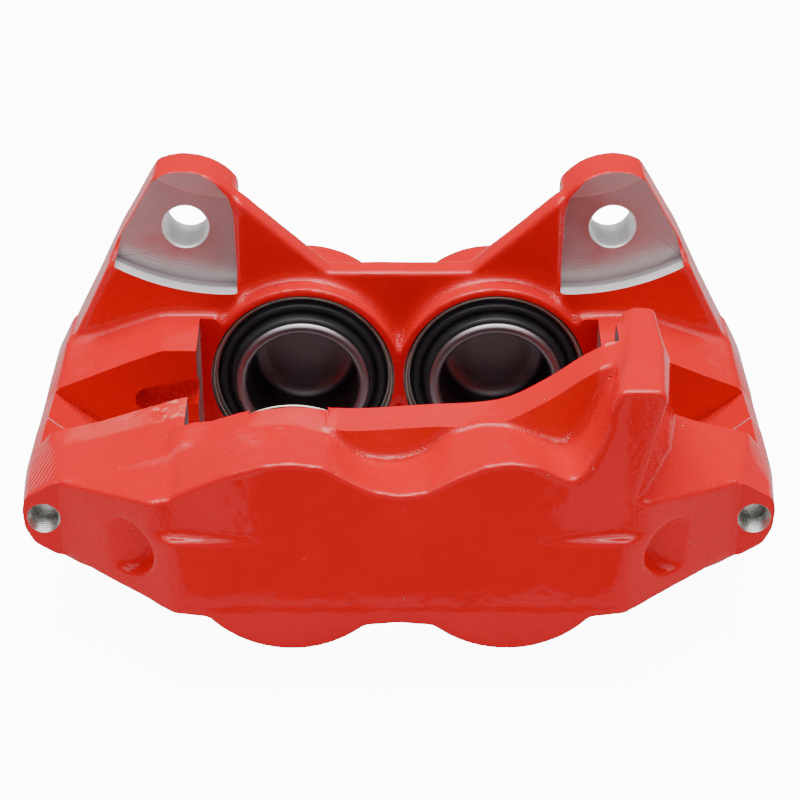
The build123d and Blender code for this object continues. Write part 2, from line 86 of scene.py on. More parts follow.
# ---- sizes taken from the frame --------------------------------------------------------------
piston_low, piston_high = low_high("piston_inboard_right")
PISTON_X = (piston_low[0] + piston_high[0]) / 2
PISTON_RADIUS = (piston_high[0] - piston_low[0]) / 2
PISTON_RIM = piston_low[1]
PISTON_END = piston_high[1]
ring_low, ring_high = low_high("boot_ring_inboard_right")
RING_WIRE = (ring_high[1] - ring_low[1]) / 2
RING_OUTSIDE = (ring_high[0] - ring_low[0]) / 2
RING_Y = (ring_low[1] + ring_high[1]) / 2
mounts = {mount["name"]: mount for mount in frame["record"]["mounts"]}


def mount_spot(name):
    """Position of a mount in millimetres, and its dimensions."""
    return np.array(mounts[name]["pos_m"]) / MM, mounts[name]["dims"]


ear_spot, ear_dims = mount_spot("mounting_holes")
EAR_X = ear_dims["spacing_x_mm"] / 2
EAR_Z = ear_spot[2]
EAR_FACE = ear_spot[1]
EAR_HOLE = ear_dims["hole_r_mm"]
port_spot, port_dims = mount_spot("outboard_port_right")
PORT_X, PORT_Z = port_spot[0], port_spot[2]
PORT_CORE, PORT_DEPTH = port_dims["r_mm"], port_dims["length_mm"]
PORT_FACE = port_spot[1] - PORT_DEPTH / 2
inlet_spot, inlet_dims = mount_spot("fluid_inlet")
INLET_DEPTH = inlet_dims["length_mm"]
INLET_FACE = inlet_spot[1] + INLET_DEPTH / 2
pin_spot, pin_dims = mount_spot("pad_pin_right")
PIN_X, PIN_Z = pin_spot[0], pin_spot[2]
PIN_RADIUS = pin_dims["r_mm"]
bleeder = next(joint for joint in frame["joints"] if joint["name"] == "bleeder_turn")
BLEEDER_SEAT = np.array(bleeder["pos_m"]) / MM
BLEEDER_AXIS = np.array(bleeder["axis"])

# ---- sizes of the castings, as in the CAD ----------------------------------------------------
SLOT_HALF = 17.5
POCKET_HALF = 36.0
ABUTMENT_X = 66.5
DISC_AXIS_Z = 134.0
SLOT_FLOOR = 172.0
EAR_LOW_FACE = 39.5
EAR_CAST_FACE = 47.0
EAR_REAR = 65.5
EAR_INNER_X = 54.0
LEDGE_RADIUS = 78.0
LEDGE_CENTRE = (56.0, 108.0)
LEDGE_OUTER_X = 94.5
EAR_BASE_Z = 24.0
EAR_PLATE_Y = EAR_FACE + 4   # a section through the ears behind their milled face
MILLED_EDGE = [(94.5, 40), (92, 50), (86.6, 63.2), (81.9, 67.3), (77, 70), (71.6, 70.9),
               (65.8, 69.9), (60.9, 67.1), (56.4, 61.6), (54.9, 56.8), (54.7, 52)]
PORT_MAJOR = 5.0
THREAD_PITCH = 1.25
THREAD_MOUTH = 0.15
PIN_HOLES = ((30.0, 80.0), (-30.0, -44.0))  # from, to: inboard and outboard
BOLT_X = (80.0, 104.0)
BOLT_CIRCLE = 180.5
BOLT_SEAT = 56.0
BOLT_HOLE = 5.25
SPOT_FACE = 9.6
SEAL_X = -92.2
SEAL_POCKET = 7.0
CUP_RADIUS = 18.8            # inside of a piston
BORE_RADIUS = PISTON_RADIUS + 0.05
RECESS_RADIUS = 31.0
RECESS_STEP = 38.1
RECESS_INNER = 28.9
GROOVE_OUTSIDE = 26.5        # clear of the seal groove
RECESS_FLOOR = 42.0
BORE_FLOOR = 69.0
RIM_TOP = [(-70, 21.9), (-66, 23.6), (-58, 24.2), (-49, 27.6), (-33, 29.9), (-14, 28.7), (7, 30),
           (30, 31.8), (44, 38.6), (55, 46.5), (62, 50.6)]
RIM_FALL = 0.1               # slope of the rim's top towards its front edge
RIM_FRONT = -48.0
RIM_WIDTH = -RIM_FRONT - POCKET_HALF
RIM_BULGE = 0.9
RIM_SPARE = 2.5              # metal above the rim that the rim cutter takes off
RIM_LEFT, RIM_RIGHT = -18.0, 59.0   # where its front edge is crisp
RIM_LEAD = 6.0               # the rim cutter starts this far left of the crisp edge
NOSE_SLOPE = 36 / 27         # of the nose's side faces, in X against Y
NOSE_SIDE_X = 104.3
FACE_BREAK_Z = -18.0         # below it the front face stands slightly proud
FACE_BREAK_HEIGHT = 0.2
FACE_REAR_Y = -70.0          # the front face lies ahead of this
RELIEF_X, RELIEF_Z = 75.5, 3.5
RELIEF_LENGTH, RELIEF_WIDTH, RELIEF_DEPTH, RELIEF_TILT = 24.0, 9.0, 6.0, 12.0


def circle_z(radius, x):
    """Height of a circle about the disc's axis, on its lower side."""
    return DISC_AXIS_Z - math.sqrt(radius ** 2 - x ** 2)


# ---- mesh helpers ----------------------------------------------------------------------------
def make_mesh(name, points, faces, material=None, sharp=35):
    """Mesh object from millimetre points, smooth except along edges sharper than an angle."""
    mesh = bpy.data.meshes.new(name)
    mesh.from_pydata((np.asarray(points, float) * MM).tolist(), [], [list(f) for f in faces])
    mesh.validate()
    obj = bpy.data.objects.new(name, mesh)
    bpy.context.scene.collection.objects.link(obj)
    if material is not None:
        mesh.materials.append(material)
    shade(obj, sharp)
    return obj


def shade(obj, angle):
    """Smooth shading with edges over the angle kept sharp."""
    mesh = obj.data
    mesh.polygons.foreach_set("use_smooth", [True] * len(mesh.polygons))
    mesh.set_sharp_from_angle(angle=math.radians(angle))
    mesh.update()


def face_outwards(obj):
    mesh = bmesh.new()
    mesh.from_mesh(obj.data)
    bmesh.ops.recalc_face_normals(mesh, faces=mesh.faces)
    mesh.to_mesh(obj.data)
    mesh.free()


def axis_frame(axis):
    """Two unit vectors square to an axis."""
    axis = np.asarray(axis, float)
    side = np.array([0.0, 0.0, 1.0]) if abs(axis[2]) < 0.9 else np.array([1.0, 0.0, 0.0])
    u = np.cross(axis, side)
    u /= np.linalg.norm(u)
    return u, np.cross(axis, u)


def hexagon(apothem):
    """Radius of a hexagon as a function of the angle."""
    def radius(angle):
        return apothem / math.cos((angle + math.pi / 6) % (math.pi / 3) - math.pi / 6)
    return radius


def lathe(profile, origin, axis, segments=TURN, section=None):
    """Points and faces turned from a closed profile of (radius, distance along the axis).
    Profile points with a third entry follow the section, a radius limit for each angle."""
    axis = np.asarray(axis, float)
    u, v = axis_frame(axis)
    angles = [2 * math.pi * k / segments for k in range(segments)]
    points, rings = [], []
    for entry in profile:
        radius, along = entry[:2]
        centre = np.asarray(origin, float) + axis * along
        start = len(points)
        if radius < 1e-6:
            rings.append([start] * segments)
            points.append(centre)
            continue
        rings.append(list(range(start, start + segments)))
        for angle in angles:
            reach = min(radius, section(angle)) if len(entry) > 2 else radius
            points.append(centre + reach * (u * math.cos(angle) + v * math.sin(angle)))
    faces = []
    for i, ring in enumerate(rings):
        following = rings[(i + 1) % len(rings)]
        for k in range(segments):
            n = (k + 1) % segments
            face = list(dict.fromkeys((ring[k], ring[n], following[n], following[k])))
            if len(face) > 2:
                faces.append(face)
    return points, faces


def turned(name, profile, origin, axis, material, segments=TURN, sharp=35, section=None):
    """Turned object."""
    points, faces = lathe(profile, origin, axis, segments, section)
    obj = make_mesh(name, points, faces, material, 180)
    face_outwards(obj)
    shade(obj, sharp)
    return obj


def soften(profile, radius, steps=4):
    """Profile with each corner off the axis replaced by a short curve."""
    points = [np.array(p[:2], float) for p in profile]
    result = []
    for i, point in enumerate(points):
        flags = tuple(profile[i][2:])
        before, after = points[i - 1] - point, points[(i + 1) % len(points)] - point
        reach = min(radius, 0.45 * np.linalg.norm(before), 0.45 * np.linalg.norm(after))
        if point[0] < 1e-6 or reach < 1e-3:
            result.append((*point, *flags))
            continue
        start = point + before / np.linalg.norm(before) * reach
        end = point + after / np.linalg.norm(after) * reach
        for t in np.linspace(0, 1, steps):
            bend = (1 - t) ** 2 * start + 2 * t * (1 - t) * point + t * t * end
            result.append((*bend, *flags))
    return result


def smooth_line(points, steps):
    """Smooth curve through points."""
    points = [np.array(p, float) for p in points]
    result = []
    for i in range(len(points) - 1):
        before, start = points[max(i - 1, 0)], points[i]
        end, after = points[i + 1], points[min(i + 2, len(points) - 1)]
        for t in np.linspace(0, 1, steps, endpoint=False):
            result.append(tuple(0.5 * (2 * start + (end - before) * t
                                       + (2 * before - 5 * start + 4 * end - after) * t ** 2
                                       + (3 * start - before - 3 * end + after) * t ** 3)))
    return result + [tuple(points[-1])]


def prism(outline, y_front, y_rear, material, slope_x=0.0, slope_z=0.0):
    """Cutter with an X-Z outline at its rear end, following two slopes to its front end."""
    count = len(outline)
    points = [(x - slope_x * (y_rear - y), y, z - slope_z * (y_rear - y))
              for y in (y_front, y_rear) for x, z in outline]
    faces = [list(range(count)), list(range(2 * count - 1, count - 1, -1))]
    faces += [(i, (i + 1) % count, count + (i + 1) % count, count + i) for i in range(count)]
    obj = make_mesh("cutter", points, faces, material, 180)
    face_outwards(obj)
    return obj


def rod(x, z, mouth, floor, radius, material, chamfer=0.0):
    """Round cutter along Y from an open mouth to a floor, with a chamfered mouth."""
    depth = abs(floor - mouth)
    over = 4.0
    profile = [(0, -over), (radius + chamfer + over * (chamfer > 0), -over), (radius, chamfer),
               (radius, depth), (0, depth)]
    axis = (0, 1 if floor > mouth else -1, 0)
    return turned("cutter", profile, (x, mouth, z), axis, material)


def tapped(x, z, mouth, floor, core, major, material):
    """Cutter for a tapped hole along Y: a rod whose side carries a helical thread."""
    direction = 1 if floor > mouth else -1
    depth = abs(floor - mouth)
    rows = int(depth / THREAD_PITCH * (9))
    segments = TURN // 2
    over = 0.6
    points = [(x, mouth - direction * over, z)]
    for row in range(-1, rows + 1):
        along = -over if row < 0 else depth * row / rows
        for k in range(segments):
            turn = k / segments
            ramp = abs(2 * ((along / THREAD_PITCH - turn) % 1.0) - 1)
            radius = core + (major - core) * min(1.0, 1.25 * ramp)
            radius = max(radius, major + THREAD_MOUTH - max(along, 0.0))
            if row < 0:
                radius = major + THREAD_MOUTH
            angle = 2 * math.pi * turn
            points.append((x + radius * math.cos(angle), mouth + direction * along,
                           z + radius * math.sin(angle)))
    points.append((x, mouth + direction * depth, z))
    faces = []
    for k in range(segments):
        n = (k + 1) % segments
        faces.append((0, 1 + n, 1 + k))
        for row in range(rows + 1):
            low, high = 1 + row * segments, 1 + (row + 1) * segments
            faces.append((low + k, low + n, high + n, high + k))
        last = 1 + (rows + 1) * segments
        faces.append((last + k, last + n, len(points) - 1))
    obj = make_mesh("cutter", points, faces, material, 180)
    face_outwards(obj)
    return obj


def stand_for(piece, node, body):
    """Puts a piece on a body, in place of a CAD node."""
    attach(piece, body)
    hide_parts(node)


def cut(obj, *cutters):
    """Cuts each cutter out of a closed mesh. New faces keep the cutter's material."""
    for cutter in cutters:
        modifier = obj.modifiers.new("cut", "BOOLEAN")
        modifier.operation = "DIFFERENCE"
        modifier.solver = "MANIFOLD"
        modifier.material_mode = "TRANSFER"
        modifier.object = cutter
        bpy.context.view_layer.update()
        depsgraph = bpy.context.evaluated_depsgraph_get()
        mesh = bpy.data.meshes.new_from_object(obj.evaluated_get(depsgraph))
        obj.modifiers.clear()
        old, obj.data = obj.data, mesh
        bpy.data.meshes.remove(old)
        bpy.data.objects.remove(cutter)


# ---- materials: coordinates inside a Look are millimetres ------------------------------------
class Look:
    """Procedural material with a principled shader."""

    def __init__(self, name):
        self.material = bpy.data.materials.new(name)
        self.material.use_nodes = True
        self.tree = self.material.node_tree
        self.tree.nodes.clear()
        place = self.node("ShaderNodeTexCoord").outputs["Object"]
        self.place = self.node("ShaderNodeVectorMath", place, operation="SCALE").outputs[0]
        self.place.node.inputs["Scale"].default_value = 1 / MM
        split = self.node("ShaderNodeSeparateXYZ", self.place)
        self.x, self.y, self.z = split.outputs
        self.normal = None

    def node(self, kind, *inputs, **settings):
        node = self.tree.nodes.new(kind)
        for name, value in settings.items():
            setattr(node, name, value)
        for socket, value in zip(node.inputs, inputs):
            self.feed(socket, value)
        return node

    def feed(self, socket, value):
        if isinstance(value, bpy.types.NodeSocket):
            self.tree.links.new(value, socket)
        elif value is not None:
            socket.default_value = value

    def math(self, operation, *values):
        return self.node("ShaderNodeMath", *values, operation=operation).outputs[0]

    def product(self, first, *rest):
        for value in rest:
            first = self.math("MULTIPLY", first, value)
        return first

    def noise(self, size, detail=2.0, vector=None, stretch=None):
        """Noise whose features are about size millimetres across."""
        vector = vector or self.place
        if stretch:
            vector = self.node("ShaderNodeVectorMath", vector, stretch,
                               operation="MULTIPLY").outputs[0]
        node = self.node("ShaderNodeTexNoise", vector)
        node.inputs["Scale"].default_value = 1 / size
        node.inputs["Detail"].default_value = detail
        return node.outputs[0]

    def rise(self, value, low, high, bottom=0.0, top=1.0):
        """Smooth step of a value from low to high."""
        return self.node("ShaderNodeMapRange", value, low, high, bottom, top,
                         interpolation_type="SMOOTHSTEP").outputs[0]

    def band(self, value, low, high, soft=1.0):
        """One between low and high, zero outside."""
        return self.product(self.rise(value, low - soft, low + soft),
                            self.rise(value, high + soft, high - soft))

    def rgba(self, color):
        return color if isinstance(color, bpy.types.NodeSocket) else (*color, 1)

    def mix(self, factor, first, second):
        node = self.node("ShaderNodeMix", data_type="RGBA")
        self.feed(node.inputs[0], factor)
        self.feed(node.inputs[6], self.rgba(first))
        self.feed(node.inputs[7], self.rgba(second))
        return node.outputs[2]

    def bump(self, height, depth):
        """Adds relief of depth millimetres."""
        node = self.node("ShaderNodeBump")
        self.feed(node.inputs["Height"], height)
        node.inputs["Strength"].default_value = 1.0
        node.inputs["Distance"].default_value = depth * MM
        if self.normal is not None:
            self.feed(node.inputs["Normal"], self.normal)
        self.normal = node.outputs[0]

    def finish(self, color, rough, metal=0.0, others=()):
        shader = self.node("ShaderNodeBsdfPrincipled")
        self.feed(shader.inputs["Base Color"], self.rgba(color))
        self.feed(shader.inputs["Roughness"], rough)
        shader.inputs["Metallic"].default_value = metal
        for name, value in others:
            self.feed(shader.inputs[name], value)
        if self.normal is not None:
            self.feed(shader.inputs["Normal"], self.normal)
            self.feed(shader.inputs["Coat Normal"], self.normal)
        self.node("ShaderNodeOutputMaterial", shader.outputs[0])
        return self.material


SCUFF_X, SCUFF_Y, SCUFF_Z = (-105, -66), (-28, -16), 8      # strip beside the slot's left edge
TOOL_X, TOOL_Y, TOOL_PITCH = (-118, -96), (-48, -24), 1.8   # tool marks on the left end
MILL_PITCH = 1.3
SECOND_PASS = 46.3           # radius of the arc where the ear's two milling passes meet


def red_paint():
    """Glossy paint on rough casting: orange peel, pinholes painted lighter as painted glints on their rims,
    wrinkles in the hollows, a scuffed strip beside the slot and tool marks that show through at the left end."""
    look = Look("red_paint")
    color = look.mix(look.noise(24, 3), (0.66, 0.0008, 0.006), (0.76, 0.0016, 0.010))
    pits = look.node("ShaderNodeTexVoronoi", look.place)
    pits.inputs["Scale"].default_value = 1 / 7.0
    pit_and_glint = look.product(look.rise(pits.outputs["Distance"], 0.085, 0.045),
                            look.rise(look.noise(17, 1), 0.5, 0.54))
    hollow = look.rise(look.node("ShaderNodeNewGeometry").outputs["Pointiness"], 0.49, 0.44)
    wrinkle = look.product(hollow, look.noise(1.3, 3))
    scuff = look.product(look.band(look.x, *SCUFF_X, 1.5), look.band(look.y, *SCUFF_Y, 1.5),
                         look.rise(look.z, SCUFF_Z, SCUFF_Z + 1))
    fleck = look.product(look.rise(look.noise(2.4, 5, stretch=(0.6, 1, 1)), 0.53, 0.6),
                         look.rise(look.x, -92, -72))
    worn = look.product(scuff, look.rise(look.noise(14, 2), 0.36, 0.5))
    color = look.mix(look.product(worn, 0.6), color, (0.74, 0.07, 0.06))
    color = look.mix(look.product(scuff, fleck, 0.6), color, (0.85, 0.24, 0.20))
    # Painted highlight: pinholes are painted lighter pink, standing in for the glints on their rims; the dent
    # below is real
    color = look.mix(look.product(pit_and_glint, 0.7), color, (0.80, 0.09, 0.07))
    across = look.node("ShaderNodeVectorMath", look.place, (0.935, -0.354, 0.0),
                       operation="DOT_PRODUCT").outputs["Value"]
    ridges = look.math("SINE", look.math("MULTIPLY", across, 2 * math.pi / TOOL_PITCH))
    ridged = look.product(look.band(look.x, *TOOL_X, 4), look.band(look.y, *TOOL_Y, 2.5),
                          look.rise(look.z, 1, 4))
    streaks = look.product(look.rise(look.math("ABSOLUTE", look.x), 58, 72),
                           look.rise(look.y, -44, -54), look.noise(1.6, 2, stretch=(1, 0.2, 1)))
    look.bump(look.noise(8.5, 2), 0.1)
    look.bump(look.noise(2.6, 2), 0.035)
    look.bump(look.noise(0.8, 2), 0.006)
    look.bump(look.product(look.noise(1.8, 3), look.rise(look.y, 17, 24)), 0.09)
    look.bump(wrinkle, 1.3)
    look.bump(look.product(ridged, ridges), 0.06)
    look.bump(streaks, 0.16)
    look.bump(look.product(scuff, fleck), 0.1)
    look.bump(pit_and_glint, -0.3)
    rough = look.math("ADD", look.rise(look.noise(6, 3), 0.3, 0.7, 0.2, 0.3),
                      look.product(worn, 0.3))
    return look.finish(color, rough, 0.0, [("Specular IOR Level", 0.03), ("Coat Weight", 0.5),
                                           ("Coat Roughness", 0.05)])


def milled_iron():
    """Ear faces and abutments, with the arcs of the milling cutter."""
    look = Look("milled_iron")
    wide = look.math("SUBTRACT", look.math("ABSOLUTE", look.x), LEDGE_CENTRE[0])
    high = look.math("SUBTRACT", look.z, LEDGE_CENTRE[1])
    reach = look.math("SQRT", look.math("ADD", look.product(wide, wide),
                                        look.product(high, high)))
    arcs = look.math("SINE", look.math("MULTIPLY", reach, 2 * math.pi / MILL_PITCH))
    cloud = look.noise(16, 3)
    color = look.mix(cloud, (0.48, 0.42, 0.435), (0.64, 0.575, 0.59))
    # The face was milled in two passes that meet on one arc
    second = look.rise(reach, SECOND_PASS + 0.2, SECOND_PASS - 0.2)
    color = look.mix(look.product(second, 0.35), color, (0.85, 0.80, 0.80))
    look.bump(second, 0.08)
    look.bump(look.product(arcs, look.noise(8, 2)), 0.018)
    look.bump(look.noise(0.5, 3), 0.012)
    return look.finish(color, look.rise(cloud, 0.3, 0.7, 0.38, 0.5), 1.0)


def bare_iron():
    """Bright bored and tapped surfaces, with painted shade in the inner corner of the ear's ledge."""
    look = Look("bare_iron")
    color = look.mix(look.noise(5, 3), (0.88, 0.88, 0.88), (0.96, 0.96, 0.97))
    # Painted shade: the inner corner of the ear's ledge is painted as grey as the milled face
    corner = look.product(look.rise(look.y, 44.2, 45.4), look.rise(look.z, 44, 42))
    color = look.mix(corner, color, (0.42, 0.37, 0.38))
    look.bump(look.noise(0.6, 2, stretch=(1, 4, 1)), 0.012)
    return look.finish(color, look.rise(look.noise(3, 2), 0.3, 0.7, 0.3, 0.42), 0.4)


def threaded_steel():
    """Bright threads: metal without any bloom, so that each turn mirrors light and dark."""
    look = Look("threaded_steel")
    color = look.mix(look.noise(3, 3), (0.62, 0.62, 0.60), (0.80, 0.80, 0.77))
    look.bump(look.noise(0.5, 2), 0.01)
    return look.finish(color, look.rise(look.noise(2, 2), 0.3, 0.7, 0.22, 0.34), 0.85)


def turned_metal(name, dark, light, rough, cup=0.0):
    """Metal with fine turning marks about the nearest piston axis, with painted shade inside a cup."""
    look = Look(name)
    wide = look.math("SUBTRACT", look.math("ABSOLUTE", look.x), float(PISTON_X))
    reach = look.math("SQRT", look.math("ADD", look.product(wide, wide),
                                        look.product(look.z, look.z)))
    place = look.math("ADD", reach, look.math("ABSOLUTE", look.y))
    marks = look.node("ShaderNodeTexNoise", noise_dimensions="1D")
    look.feed(marks.inputs["W"], place)
    marks.inputs["Scale"].default_value = 1 / 0.45
    color = look.mix(look.noise(12, 3), dark, light)
    if cup:
        # Painted shade: the inside of the cup is painted darker
        cup_shade = look.rise(reach, cup + 0.4, cup - 0.1, 0.0, 0.6)
        color = look.mix(cup_shade, color, (0.10, 0.09, 0.10))
    look.bump(marks.outputs[0], 0.01)
    return look.finish(color, look.rise(marks.outputs[0], 0.3, 0.7, rough, rough + 0.12), 1.0)


def rubber(name, color, rough):
    """Moulded rubber with a dusty bloom."""
    look = Look(name)
    bloom = look.noise(9, 4)
    tone = look.mix(bloom, color, tuple(2.2 * c + 0.004 for c in color))
    look.bump(look.noise(0.7, 3), 0.02)
    return look.finish(tone, look.rise(bloom, 0.3, 0.7, rough, rough + 0.15), 0.0,
                       [("Specular IOR Level", 0.2)])


def plated(name, dark, light):
    """Zinc-plated steel with soft mottling."""
    look = Look(name)
    mottle = look.noise(4, 4)
    color = look.mix(mottle, dark, light)
    look.bump(look.noise(1.5, 3), 0.02)
    look.bump(look.noise(0.35, 2), 0.01)
    return look.finish(color, look.rise(mottle, 0.3, 0.7, 0.3, 0.42), 1.0)


PAINT = red_paint()
MILLED = milled_iron()
BARE = bare_iron()
THREAD = threaded_steel()
BORE = turned_metal("bored_iron", (0.33, 0.32, 0.32), (0.42, 0.41, 0.40), 0.3)
STEEL = turned_metal("piston_steel", (0.26, 0.215, 0.24), (0.33, 0.285, 0.31), 0.34, CUP_RADIUS)
RING_STEEL = plated("ring_steel", (0.44, 0.39, 0.33), (0.58, 0.52, 0.45))
ZINC = plated("zinc_steel", (0.50, 0.49, 0.44), (0.66, 0.65, 0.60))
BOOT_RUBBER = rubber("boot_rubber", (0.012, 0.012, 0.014), 0.34)
SEAL_RUBBER = rubber("seal_rubber", (0.016, 0.016, 0.017), 0.4)

# ---- castings: the CAD shape as a distance field, rounded like a casting ----------------------
VOXEL = 0.75
MARGIN = 6.0
BAND = 8
OUTSIDE = BAND * VOXEL
EDGE_ROUNDING = 0.9
FILLET = 2.6


class Field:
    """Signed distances on a grid over both castings, in millimetres."""

    def __init__(self, *nodes):
        boxes = [low_high(node) for node in nodes]
        low = np.min([box[0] for box in boxes], axis=0) - MARGIN
        high = np.max([box[1] for box in boxes], axis=0) + MARGIN
        self.first = np.floor(low / VOXEL).astype(int)
        self.size = np.ceil(high / VOXEL).astype(int) - self.first + 1
        self.values = np.full(self.size, OUTSIDE, np.float32)
        self.x, self.y, self.z = (self.coordinate(i) for i in range(3))
        for node in nodes:
            self.add_node(node)

    def coordinate(self, axis):
        shape = [1, 1, 1]
        shape[axis] = self.size[axis]
        steps = (self.first[axis] + np.arange(self.size[axis])) * VOXEL
        return steps.astype(np.float32).reshape(shape)

    def index(self, axis, value):
        """Nearest grid index of a coordinate."""
        return int(round(value / VOXEL)) - self.first[axis]

    def add(self, values):
        self.values = np.minimum(self.values, values)

    def add_node(self, node):
        mesh = frame["nodes"][node].data
        mesh.calc_loop_triangles()
        points = np.empty(len(mesh.vertices) * 3)
        mesh.vertices.foreach_get("co", points)
        corners = np.empty(len(mesh.loop_triangles) * 3, np.int32)
        mesh.loop_triangles.foreach_get("vertices", corners)
        grid = openvdb.FloatGrid.createLevelSetFromPolygons(
            points.reshape(-1, 3) / MM, triangles=corners.reshape(-1, 3).astype(np.uint32),
            transform=openvdb.createLinearTransform(voxelSize=VOXEL), halfWidth=BAND)
        values = np.full(self.size, OUTSIDE, np.float32)
        grid.copyToArray(values, ijk=tuple(int(i) for i in self.first))
        self.add(values)

    def plug(self, x, z, radius, y_front, y_rear, top=None):
        """Fills a round hole along Y, so that rounding can't reach its edge."""
        around = np.hypot(self.x - x, self.z - z) - radius
        if top is not None:
            around = np.maximum(around, self.z - top)
        along = np.abs(self.y - (y_front + y_rear) / 2) - (y_rear - y_front) / 2
        self.add(np.maximum(around, along))

    def roughen(self, cell, height):
        """Gentle unevenness of a sand casting."""
        counts = [int(n * VOXEL / cell) + 3 for n in self.size]
        values = RANDOM.standard_normal(counts)
        for axis, count in enumerate(self.size):
            place = np.arange(count) * VOXEL / cell
            whole = place.astype(int)
            part = place - whole
            part = part * part * (3 - 2 * part)
            shape = [1, 1, 1]
            shape[axis] = count
            part = part.reshape(shape)
            values = (np.take(values, whole, axis) * (1 - part)
                      + np.take(values, whole + 1, axis) * part)
        self.values = self.values + (height * values).astype(np.float32)

    def to_object(self, name, material):
        grid = openvdb.FloatGrid(OUTSIDE)
        grid.transform = openvdb.createLinearTransform(voxelSize=VOXEL)
        grid.copyFromArray(self.values, ijk=tuple(int(i) for i in self.first))
        points, triangles, quads = grid.convertToPolygons(isovalue=0.0, adaptivity=0.0)
        return make_mesh(name, points, list(triangles) + list(quads), material, 180)


def blur(values, sigma):
    """Gaussian blur of a 3-D array, sigma in millimetres."""
    reach = int(math.ceil(2.5 * sigma / VOXEL))
    steps = np.arange(-reach, reach + 1)
    weights = np.exp(-0.5 * (steps * VOXEL / sigma) ** 2)
    weights /= weights.sum()
    for axis in range(3):
        margins = [(reach, reach) if i == axis else (0, 0) for i in range(3)]
        padded = np.pad(values, margins, "edge")
        total = np.zeros_like(values)
        for step, weight in zip(steps, weights):
            part = [slice(None)] * 3
            part[axis] = slice(reach + step, reach + step + values.shape[axis])
            total += np.float32(weight) * padded[tuple(part)]
        values = total
    return values


def smooth_min(a, b, soft):
    """Smaller of two fields with a soft crossing."""
    share = np.clip(0.5 + 0.5 * (b - a) / soft, 0, 1)
    return b + (a - b) * share - soft * share * (1 - share)


def above_ledge(x, z):
    """Distance above the milled ledge of the nearer ear."""
    return LEDGE_RADIUS - np.hypot(np.abs(x) - LEDGE_CENTRE[0], z - LEDGE_CENTRE[1])


